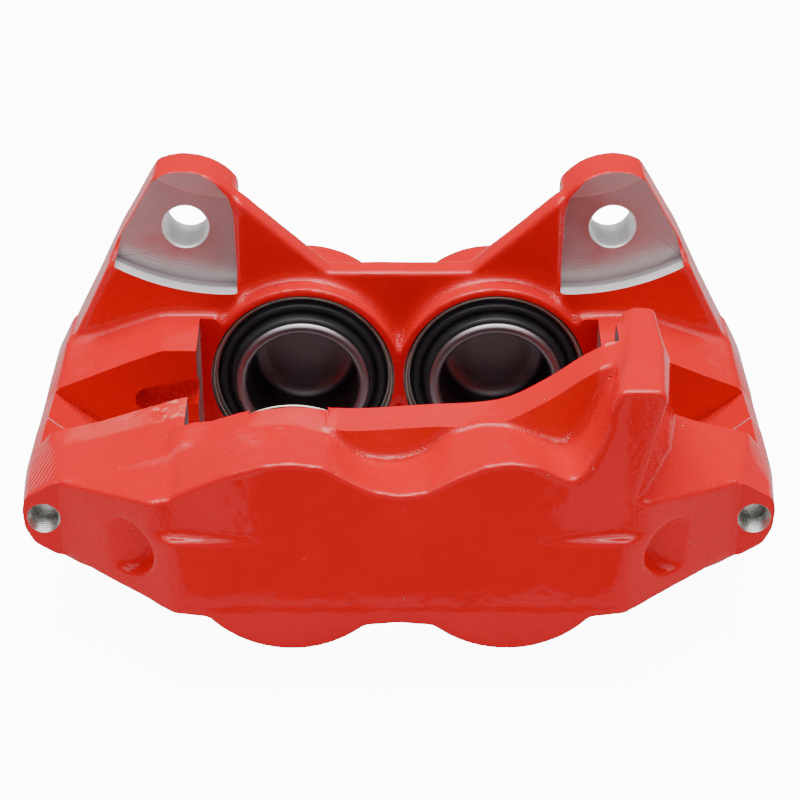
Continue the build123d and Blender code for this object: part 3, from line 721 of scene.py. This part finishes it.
def fill_machining(field):
    """Puts back the metal that machining removes, so that only cast edges get rounded."""
    x, y, z = field.x, field.y, field.z
    # Ears: the plate's outline carried forward to the cast face, and below it over the ledge
    plate = field.values[:, [field.index(1, EAR_PLATE_Y)], :]
    near_ear = (y < EAR_PLATE_Y) & (z > EAR_BASE_Z)
    cast_face = np.maximum(plate, EAR_CAST_FACE - y)
    field.add(np.where(near_ear, cast_face, OUTSIDE))
    beside = (np.abs(np.abs(x) - (EAR_INNER_X + LEDGE_OUTER_X) / 2)
              - (LEDGE_OUTER_X - EAR_INNER_X) / 2)
    lip = np.maximum.reduce(np.broadcast_arrays(
        plate, EAR_LOW_FACE - y, above_ledge(x, z) - 4, beside))
    field.add(np.where(near_ear, lip, OUTSIDE))
    # Rim: spare metal on top of its crisp front edge
    near_rim = np.maximum(np.abs(y - (RIM_FRONT - POCKET_HALF) / 2) - RIM_WIDTH / 2,
                          np.abs(x - (RIM_LEFT + RIM_RIGHT) / 2) - (RIM_RIGHT - RIM_LEFT) / 2)
    rim_x, rim_z = zip(*RIM_TOP)
    rim_top = np.interp(x, rim_x, rim_z).astype(np.float32)
    field.add(np.maximum.reduce(np.broadcast_arrays(near_rim, z - rim_top - RIM_SPARE, 12 - z)))
    # Port faces: the ends of the blocks carried forward
    behind = field.values[:, [field.index(1, PORT_FACE + 1)], :]
    ahead = (np.abs(x) > NOSE_SIDE_X) & (y < PORT_FACE + 1) & (y > PORT_FACE - 3.5)
    field.add(np.where(ahead, behind, OUTSIDE))
    # End blocks: outlines beside the slot carried across it
    front = field.values[:, [field.index(1, -SLOT_HALF - 1)], :]
    rear = field.values[:, [field.index(1, SLOT_HALF + 1)], :]
    share = np.clip((y + SLOT_HALF) / (2 * SLOT_HALF), 0, 1)
    in_slot = (np.abs(x) > ABUTMENT_X) & (np.abs(y) < SLOT_HALF + 1)
    field.add(np.where(in_slot, front + (rear - front) * share, OUTSIDE))
    # Abutments: the blocks carried towards the middle
    for side in (-1, 1):
        source = field.index(0, side * (ABUTMENT_X + 1.5))
        inner = field.index(0, side * (ABUTMENT_X - 5))
        part = slice(min(source, inner), max(source, inner) + 1)
        beside_pocket = np.abs(y) < POCKET_HALF
        carried = np.minimum(field.values[part], field.values[[source]])
        field.values[part] = np.where(beside_pocket, carried, field.values[part])
    for side in (-1, 1):
        for half in (-1, 1):
            field.plug(side * PISTON_X, 0, GROOVE_OUTSIDE,
                       *sorted((half * RECESS_FLOOR, half * BORE_FLOOR)))
        field.plug(side * PISTON_X, 0, RECESS_RADIUS + 0.4, POCKET_HALF + 0.3, RECESS_FLOOR + 0.5)
        # The outboard rim bulges over the boot ring and fades out towards its front edge
        bulge = rim_top + RIM_BULGE + (RIM_FALL + RIM_BULGE / RIM_WIDTH) * (y + POCKET_HALF)
        field.plug(side * PISTON_X, 0, RECESS_RADIUS - 0.1, RIM_FRONT, -POCKET_HALF - 0.3,
                   top=bulge)
        field.plug(side * EAR_X, EAR_Z, EAR_HOLE + 1.5, EAR_CAST_FACE, EAR_REAR)
        field.plug(side * PORT_X, PORT_Z, PORT_MAJOR + 0.8, PORT_FACE, 0)
        field.plug(side * PIN_X, PIN_Z, PIN_RADIUS + 0.6, POCKET_HALF, 62)
        field.plug(side * PIN_X, PIN_Z, PIN_RADIUS + 0.6, -46, -POCKET_HALF)
        # Around the relief: a block behind the slot wall, longer and wider than the relief
        relief = np.maximum(np.abs(np.abs(x) - RELIEF_X) - (RELIEF_LENGTH / 2 + 2),
                            np.abs(z - RELIEF_Z) - (RELIEF_WIDTH / 2 + 3.5))
        behind_wall = np.abs(y - SLOT_HALF - 4) - 4
        field.add(np.where(np.sign(x) == side, np.maximum(relief, behind_wall), OUTSIDE))
        for bolt_x in BOLT_X:
            field.plug(side * bolt_x, circle_z(BOLT_CIRCLE, bolt_x), BOLT_HOLE + 0.95, -34,
                       BOLT_SEAT)
    # Outboard rim carried into the pad pocket, for its crisp rear edge
    source = field.index(1, -POCKET_HALF - 1.5)
    part = slice(source, field.index(1, 5 - POCKET_HALF))
    carried = np.minimum(field.values[:, part], field.values[:, [source]])
    within = (np.abs(x) < ABUTMENT_X - 2) & (z > 0)
    field.values[:, part] = np.where(within, carried, field.values[:, part])
    field.plug(SEAL_X, circle_z(BOLT_CIRCLE, SEAL_X), SEAL_POCKET, -8, 8)
    field.plug(0, 0, PORT_MAJOR + 0.8, BOLT_SEAT, INLET_FACE)


def cast_shape():
    field = Field("inboard_half", "outboard_half")
    fill_machining(field)
    proud = np.clip(FACE_BREAK_Z + 0.5 - field.z, 0, 1) * (field.y < FACE_REAR_Y)
    field.values = field.values - np.float32(FACE_BREAK_HEIGHT) * proud.astype(np.float32)
    # Hollows get a larger radius than edges
    rounded = blur(field.values, EDGE_ROUNDING)
    filleted = blur(field.values, FILLET) + 0.35
    field.values = smooth_min(rounded, filleted, 0.7)
    field.roughen(12.0, 0.08)
    field.roughen(4.0, 0.025)
    return field.to_object("casting", PAINT)


def slot_cutters():
    """Disc slot with its round floor, and the pad pocket with bare abutments."""
    arc = [(SLOT_FLOOR * math.sin(a), DISC_AXIS_Z - SLOT_FLOOR * math.cos(a))
           for a in np.linspace(-0.8, 0.8, 97)]
    slot = prism(arc + [(124, 110), (-124, 110)], -SLOT_HALF, SLOT_HALF, PAINT)
    corners = [(-ABUTMENT_X, -90), (ABUTMENT_X, -90), (ABUTMENT_X, 110), (-ABUTMENT_X, 110)]
    pocket = prism(corners, -POCKET_HALF, POCKET_HALF, PAINT)
    pocket.data.materials.append(MILLED)
    for face in pocket.data.polygons:
        if abs(face.normal.x) > 0.9:
            face.material_index = 1
    return slot, pocket


def rim_cutter():
    """Levels the rim beside the pad pocket, up to its crisp front edge."""
    over = 8.0
    line = [(x, z + RIM_FALL * over) for x, z in smooth_line(RIM_TOP, 5)
            if x > RIM_LEFT - RIM_LEAD]
    line.insert(0, (line[0][0] - 7, line[0][1] + 6))
    return prism(line + [(line[-1][0], 90), (line[0][0], 90)], RIM_FRONT - 1, over - POCKET_HALF,
                 PAINT, slope_z=RIM_FALL)


def face_cutter(side):
    """Levels the face around an end port, up to the nose's side face."""
    far = side * 130
    outline = [(side * NOSE_SIDE_X, -40), (side * NOSE_SIDE_X, 40), (far, 40), (far, -40)]
    return prism(outline, PORT_FACE - 12, PORT_FACE, PAINT, side * NOSE_SLOPE)


def bore_cutter(x, half):
    """Boot recess and piston bore."""
    profile = [(0, POCKET_HALF - 4), (RECESS_RADIUS, POCKET_HALF - 4), (RECESS_RADIUS, RECESS_STEP),
               (RECESS_INNER, RECESS_STEP), (RECESS_INNER, RECESS_FLOOR),
               (BORE_RADIUS, RECESS_FLOOR), (BORE_RADIUS, BORE_FLOOR), (0, BORE_FLOOR)]
    return turned("cutter", profile, (x, 0, 0), (0, half, 0), BORE)


def ear_cutters(side):
    """Milled ledge and mounting face, and the mounting hole."""
    inner = math.asin((EAR_INNER_X - LEDGE_CENTRE[0]) / LEDGE_RADIUS)
    outer = math.asin((LEDGE_OUTER_X - LEDGE_CENTRE[0]) / LEDGE_RADIUS)
    arc = [(LEDGE_CENTRE[0] + LEDGE_RADIUS * math.sin(a),
            LEDGE_CENTRE[1] - LEDGE_RADIUS * math.cos(a)) for a in np.linspace(inner, outer, 40)]
    outline = [(side * x, z) for x, z in arc + MILLED_EDGE]
    face = prism(outline, SLOT_HALF + 6, EAR_FACE, MILLED)
    face.data.materials.append(BARE)
    for polygon in face.data.polygons:
        if abs(polygon.normal.y) < 0.5:
            polygon.material_index = 1
    return face, rod(side * EAR_X, EAR_Z, EAR_FACE, EAR_REAR + 9, EAR_HOLE, BARE, 0.5)


def relief_cutter(side):
    """Oval hollow in the slot wall with a dished floor."""
    half_length = (RELIEF_LENGTH - RELIEF_WIDTH) / 2
    tilt = math.radians(-RELIEF_TILT * side)
    points, rings = [], ((0.0, -1.0), (0.0, 3.0), (0.8, 4.8), (2.2, RELIEF_DEPTH))
    count = 48
    for inset, depth in rings:
        radius = RELIEF_WIDTH / 2 - inset
        for k in range(count):
            a = 2 * math.pi * (k + 0.5) / count
            along = math.copysign(half_length, math.cos(a)) + radius * math.cos(a)
            up = radius * math.sin(a)
            points.append((side * RELIEF_X + along * math.cos(tilt) - up * math.sin(tilt),
                           SLOT_HALF + depth,
                           RELIEF_Z + along * math.sin(tilt) + up * math.cos(tilt)))
    faces = [list(range(count)), list(range(len(points) - 1, len(points) - 1 - count, -1))]
    for ring in range(len(rings) - 1):
        for k in range(count):
            a, b = ring * count + k, ring * count + (k + 1) % count
            faces.append((a, b, b + count, a + count))
    obj = make_mesh("cutter", points, faces, PAINT, 180)
    face_outwards(obj)
    return obj


def build_castings():
    """Splits the cast shape at the joint plane and machines both halves."""
    inboard = cast_shape()
    outboard = inboard.copy()
    outboard.data = inboard.data.copy()
    bpy.context.scene.collection.objects.link(outboard)
    inboard.name, outboard.name = "inboard_casting", "outboard_casting"
    far, gap = 150.0, 0.25
    square = [(-far, -far), (far, -far), (far, far), (-far, far)]
    cut(inboard, prism(square, -far, gap, BARE), *slot_cutters())
    cut(outboard, prism(square, -gap, far, BARE), *slot_cutters(), rim_cutter())
    for side in (-1, 1):
        cut(inboard, bore_cutter(side * PISTON_X, 1), *ear_cutters(side), relief_cutter(side),
            rod(side * PIN_X, PIN_Z, *PIN_HOLES[0], PIN_RADIUS, BARE))
        cut(outboard, bore_cutter(side * PISTON_X, -1), face_cutter(side),
            tapped(side * PORT_X, PORT_Z, PORT_FACE, PORT_FACE + PORT_DEPTH, PORT_CORE,
                   PORT_MAJOR, THREAD),
            rod(side * PIN_X, PIN_Z, *PIN_HOLES[1], PIN_RADIUS, BARE))
        for bolt_x in BOLT_X:
            z = circle_z(BOLT_CIRCLE, bolt_x)
            cut(inboard, rod(side * bolt_x, z, 90, BOLT_SEAT, SPOT_FACE, BARE),
                rod(side * bolt_x, z, BOLT_SEAT + 1, BOLT_SEAT - 8, BOLT_HOLE, BARE))
    cut(inboard, tapped(0, 0, INLET_FACE, INLET_FACE - INLET_DEPTH, PORT_CORE, PORT_MAJOR, THREAD),
        turned("cutter", [(0, 0), (PORT_CORE, 0), (PORT_CORE, 40), (0, 40)], BLEEDER_SEAT,
               BLEEDER_AXIS, BARE))
    for obj, node in ((inboard, "inboard_half"), (outboard, "outboard_half")):
        obj.data.name = obj.name
        shade(obj, 34)
        stand_for(obj, node, BODY)


build_castings()

# ---- pistons, boots and rings ----------------------------------------------------------------
CUP_FLOOR = PISTON_RIM + 25.5
GROOVE = (33.4, 35.4)
GROOVE_RADIUS = 21.0
BOOT_THICKNESS = 1.4
BOOT_FOLDS = [(21.15, 34.4), (22.9, 34.25), (23.6, 36.6), (24.4, 38.1), (25.3, 37.9), (26.0, 36.9),
              (26.9, 36.8), (27.5, 38.2), (28.0, 38.9), (28.7, 39.1)]
RING_GAP = 7.0               # degrees left open in each boot ring
WIRE = 0.6 * RING_WIRE
RING_INSET = 0.4             # from the CAD ring's outside


def piston_profile():
    """Cup piston: rounded rim, boot groove, coned cup floor."""
    cup = [(0, CUP_FLOOR), (CUP_RADIUS - 5.0, CUP_FLOOR), (CUP_RADIUS - 1.6, CUP_FLOOR - 1.6),
           (CUP_RADIUS, CUP_FLOOR - 6.5), (CUP_RADIUS, PISTON_RIM + 1.2),
           (CUP_RADIUS + 1.0, PISTON_RIM)]
    outside = [(PISTON_RADIUS - 1.0, PISTON_RIM), (PISTON_RADIUS, PISTON_RIM + 1.0),
               (PISTON_RADIUS, GROOVE[0]), (GROOVE_RADIUS, GROOVE[0]), (GROOVE_RADIUS, GROOVE[1]),
               (PISTON_RADIUS, GROOVE[1]), (PISTON_RADIUS, PISTON_END - 1.5),
               (PISTON_RADIUS - 1.5, PISTON_END), (0, PISTON_END)]
    return soften(cup, 2.0, 6)[:-1] + soften([cup[-1]] + outside, 0.5, 4)


def boot_profile():
    """Rubber bellows: a smooth curve through the folds, thinner at each end."""
    spine = [np.array(point) for point in smooth_line(BOOT_FOLDS, 5)]
    near, far = [], []
    for i, point in enumerate(spine):
        along = spine[min(i + 1, len(spine) - 1)] - spine[max(i - 1, 0)]
        across = np.array([-along[1], along[0]]) / np.linalg.norm(along)
        half = BOOT_THICKNESS / 2 * (1.0 if 0 < i < len(spine) - 1 else 0.6)
        near.append(tuple(point - across * half))
        far.append(tuple(point + across * half))
    return near + far[::-1]


def wire_ring(name, x, half, opening):
    """Spring wire ring with an open gap and rounded ends."""
    tube, around, ends = 16, TURN, 3
    gap = math.radians(RING_GAP)
    points, faces = [], []
    for i in range(around + 1):
        angle = opening + gap / 2 + (2 * math.pi - gap) * i / around
        near_end = min(1, (min(i, around - i) + 1) / (ends + 1))
        wire = WIRE * math.sin(math.pi / 2 * near_end)
        for k in range(tube):
            turn = 2 * math.pi * k / tube
            radius = RING_OUTSIDE - RING_INSET - WIRE + wire * math.cos(turn)
            points.append((x + radius * math.cos(angle), half * (RING_Y + wire * math.sin(turn)),
                           radius * math.sin(angle)))
    for i in range(around):
        for k in range(tube):
            n = (k + 1) % tube
            faces.append((i * tube + k, i * tube + n, (i + 1) * tube + n, (i + 1) * tube + k))
    faces.append(list(range(tube)))
    faces.append(list(range(len(points) - 1, len(points) - 1 - tube, -1)))
    obj = make_mesh(name, points, faces, RING_STEEL, 180)
    face_outwards(obj)
    return obj


for half_name, half in (("inboard", 1), ("outboard", -1)):
    for side_name, side in (("left", -1), ("right", 1)):
        where = f"{half_name}_{side_name}"
        x = side * PISTON_X
        piston_body = f"piston_{where}_body"
        piston = turned(f"piston_cup_{where}", piston_profile(), (x, 0, 0), (0, half, 0), STEEL)
        stand_for(piston, f"piston_{where}", piston_body)
        boot = turned(f"boot_bellows_{where}", boot_profile(), (x, 0, 0), (0, half, 0),
                      BOOT_RUBBER, sharp=60)
        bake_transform(boot)
        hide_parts(f"dust_boot_{where}")
        ring = wire_ring(f"wire_ring_{where}", x, half, math.radians(-90 + 25 * side))
        stand_for(ring, f"boot_ring_{where}", BODY)

# ---- bridge bolts, bleeder screw and cap -----------------------------------------------------
BOLT_RADIUS = 5.0
BOLT_APOTHEM = 7.5
BOLT_TOP = 8.0
BLEEDER_APOTHEM = 5.0


def bolt_points(x):
    """Flanged hexagon bolt with a chamfered, dished head."""
    corner = BOLT_APOTHEM / math.cos(math.pi / 6)
    shank = [(0, -40), (BOLT_RADIUS - 1, -40), (BOLT_RADIUS, -39), (BOLT_RADIUS, 0)]
    flange = [(8.6, 0.0), (9.0, 0.4), (9.0, 1.0), (8.7, 1.5), (8.3, 2.0)]
    head = [(corner, 2.0, 1), (corner, BOLT_TOP - 1.2, 1), (corner - 0.5, BOLT_TOP - 0.6, 1),
            (corner - 1.4, BOLT_TOP - 0.1, 1), (corner - 2.0, BOLT_TOP, 1)]
    dish = [(4.9, BOLT_TOP), (4.3, BOLT_TOP - 0.7), (0, BOLT_TOP - 0.7)]
    return lathe(shank + flange + head + dish, (x, BOLT_SEAT, circle_z(BOLT_CIRCLE, x)), (0, 1, 0),
                 TURN // 2, hexagon(BOLT_APOTHEM))


points, faces = [], []
for x in (-BOLT_X[1], -BOLT_X[0], *BOLT_X):
    more_points, more_faces = bolt_points(x)
    faces += [[len(points) + i for i in face] for face in more_faces]
    points += more_points
bolts = make_mesh("flanged_bolts", points, faces, ZINC, 180)
face_outwards(bolts)
shade(bolts, 25)
stand_for(bolts, "bridge_bolts", BODY)

SCREW = [(0, -0.9), (0.5, -0.9), (1.4, 0.0), (2.8, 1.4), (4.0, 2.0), (4.45, 3.0), (4.45, 14.0),
         (3.9, 14.6), (3.9, 16.8), (5.4, 16.8, 1), (5.78, 17.3, 1), (5.78, 21.8, 1),
         (5.4, 22.3, 1), (3.7, 22.3), (3.2, 23.2), (2.6, 24.0), (2.6, 28.0), (3.4, 29.4),
         (2.5, 32.0), (1.0, 32.0), (1.0, 4.0), (0, 4.0)]
screw = turned("bleed_screw", SCREW, BLEEDER_SEAT, BLEEDER_AXIS, ZINC, TURN // 2, 25,
               hexagon(BLEEDER_APOTHEM))
stand_for(screw, "bleeder_screw", "bleeder_screw_body")
CAP = [(3.45, 24.2), (4.7, 24.2), (5.1, 24.7), (5.1, 26.8), (4.5, 27.6), (4.35, 33.4), (3.9, 34.4),
       (3.2, 34.8), (0, 34.8), (0, 32.4), (3.45, 32.4)]
cap = turned("bleed_cap", soften(CAP, 0.4, 4), BLEEDER_SEAT, BLEEDER_AXIS, BOOT_RUBBER, TURN // 2)
stand_for(cap, "bleeder_cap", "bleeder_cap_body")

# CAD nodes that stay: the seals
for name, node in frame["nodes"].items():
    if "seal" in name:
        node.data.materials.clear()
        node.data.materials.append(SEAL_RUBBER)

# ---- floor, light and camera -----------------------------------------------------------------
FLOOR_SIZE = 4.0
FLOOR_Z = cad_box[0].z - 0.0005
FLOOR_GLOW = 11.0
FLOOR_TONE, FLOOR_TONE_MIRRORED = 0.72, 0.4
WORLD_GLOW = 14.0            # seen by the camera only
WORLD_LIGHT = 0.78
DOME_LOW, DOME_HIGH = 0.6, 0.88      # sine of the height where the mirrored dome turns bright
DOME_DARK, DOME_BRIGHT = 0.15, 3.5
CAMERA_PLACE = (0, -0.6779, 0.3874)
CAMERA_ELEVATION = 29
CAMERA_LENS = 108
IMAGE_SIZE = 800


def sheet(name, corners, z, material):
    """Flat face that isn't part of the object."""
    mesh = bpy.data.meshes.new(name)
    mesh.from_pydata([(x, y, z) for x, y in corners], [], [list(range(len(corners)))])
    mesh.materials.append(material)
    obj = bpy.data.objects.new(name, mesh)
    bpy.context.scene.collection.objects.link(obj)
    return obj


def floor_material():
    """Pale floor that the camera sees brighter than the object does."""
    material = bpy.data.materials.new("pale_floor")
    material.use_nodes = True
    tree = material.node_tree
    tree.nodes.clear()
    path = tree.nodes.new("ShaderNodeLightPath")
    shader = tree.nodes.new("ShaderNodeBsdfPrincipled")
    grey = tree.nodes.new("ShaderNodeMapRange")
    grey.inputs["To Min"].default_value = FLOOR_TONE
    grey.inputs["To Max"].default_value = FLOOR_TONE_MIRRORED
    tree.links.new(path.outputs["Is Glossy Ray"], grey.inputs["Value"])
    tree.links.new(grey.outputs[0], shader.inputs["Base Color"])
    shader.inputs["Roughness"].default_value = 0.9
    shader.inputs["Emission Color"].default_value = (1, 1, 1, 1)
    tone = tree.nodes.new("ShaderNodeMath")
    tone.operation = "MULTIPLY"
    tone.inputs[1].default_value = FLOOR_GLOW
    tree.links.new(path.outputs["Is Camera Ray"], tone.inputs[0])
    tree.links.new(tone.outputs[0], shader.inputs["Emission Strength"])
    output = tree.nodes.new("ShaderNodeOutputMaterial")
    tree.links.new(shader.outputs[0], output.inputs[0])
    return material


def flat_material(name, shade_of_grey):
    material = bpy.data.materials.new(name)
    material.use_nodes = True
    shader = material.node_tree.nodes["Principled BSDF"]
    shader.inputs["Base Color"].default_value = (shade_of_grey,) * 3 + (1,)
    shader.inputs["Roughness"].default_value = 0.9
    return material


sheet("floor", [(-FLOOR_SIZE, -FLOOR_SIZE), (FLOOR_SIZE, -FLOOR_SIZE), (FLOOR_SIZE, FLOOR_SIZE),
                (-FLOOR_SIZE, FLOOR_SIZE)], FLOOR_Z, floor_material())
# The card is what the flat front face mirrors
CARD_EDGE = [(0.070, -0.128), (0.078, -0.150), (0.080, -0.168), (0.098, -0.200), (0.120, -0.300),
             (0.150, -0.500)]
card = sheet("front_card", [(-x, y) for x, y in CARD_EDGE] + CARD_EDGE[::-1], FLOOR_Z + 0.001,
             flat_material("dark_card", 0.02))
card.visible_camera = card.visible_diffuse = card.visible_shadow = False

world = bpy.data.worlds.new("studio")
bpy.context.scene.world = world
world.use_nodes = True
background = world.node_tree.nodes["Background"]
path = world.node_tree.nodes.new("ShaderNodeLightPath")
strength = world.node_tree.nodes.new("ShaderNodeMapRange")
strength.inputs["To Max"].default_value = WORLD_GLOW
world.node_tree.links.new(path.outputs["Is Camera Ray"], strength.inputs["Value"])
world.node_tree.links.new(strength.outputs[0], background.inputs["Strength"])
# Reflections see a dome that is dark at the horizon and bright overhead
direction = world.node_tree.nodes.new("ShaderNodeTexCoord")
split = world.node_tree.nodes.new("ShaderNodeSeparateXYZ")
dome = world.node_tree.nodes.new("ShaderNodeMapRange")
for name, value in (("From Min", DOME_LOW), ("From Max", DOME_HIGH), ("To Min", DOME_DARK),
                    ("To Max", DOME_BRIGHT)):
    dome.inputs[name].default_value = value
even = world.node_tree.nodes.new("ShaderNodeMapRange")
even.inputs["To Min"].default_value = WORLD_LIGHT
world.node_tree.links.new(direction.outputs["Generated"], split.inputs[0])
world.node_tree.links.new(split.outputs["Z"], dome.inputs["Value"])
world.node_tree.links.new(path.outputs["Is Glossy Ray"], even.inputs["Value"])
world.node_tree.links.new(dome.outputs[0], even.inputs["To Max"])
world.node_tree.links.new(even.outputs[0], strength.inputs["To Min"])
background.inputs["Color"].default_value = (1, 1, 1, 1)


def area_light(name, location, width, height, power):
    data = bpy.data.lights.new(name, "AREA")
    data.shape = "RECTANGLE"
    data.size, data.size_y = width, height
    data.energy = power
    obj = bpy.data.objects.new(name, data)
    obj.location = location
    obj.rotation_euler = (-Vector(location)).to_track_quat("-Z", "Y").to_euler()
    bpy.context.scene.collection.objects.link(obj)
    return obj


area_light("overhead", (0.0, 0.15, 1.1), 1.0, 0.7, 19.5)

# The photograph's camera, in front of the outboard half
camera_data = bpy.data.cameras.new("camera")
camera_data.sensor_width = 36
camera_data.lens = CAMERA_LENS
camera_data.shift_x = 1 / IMAGE_SIZE
camera = bpy.data.objects.new("camera", camera_data)
camera.location = CAMERA_PLACE
camera.rotation_euler = (math.radians(90 - CAMERA_ELEVATION), 0, 0)
bpy.context.scene.collection.objects.link(camera)
bpy.context.scene.camera = camera
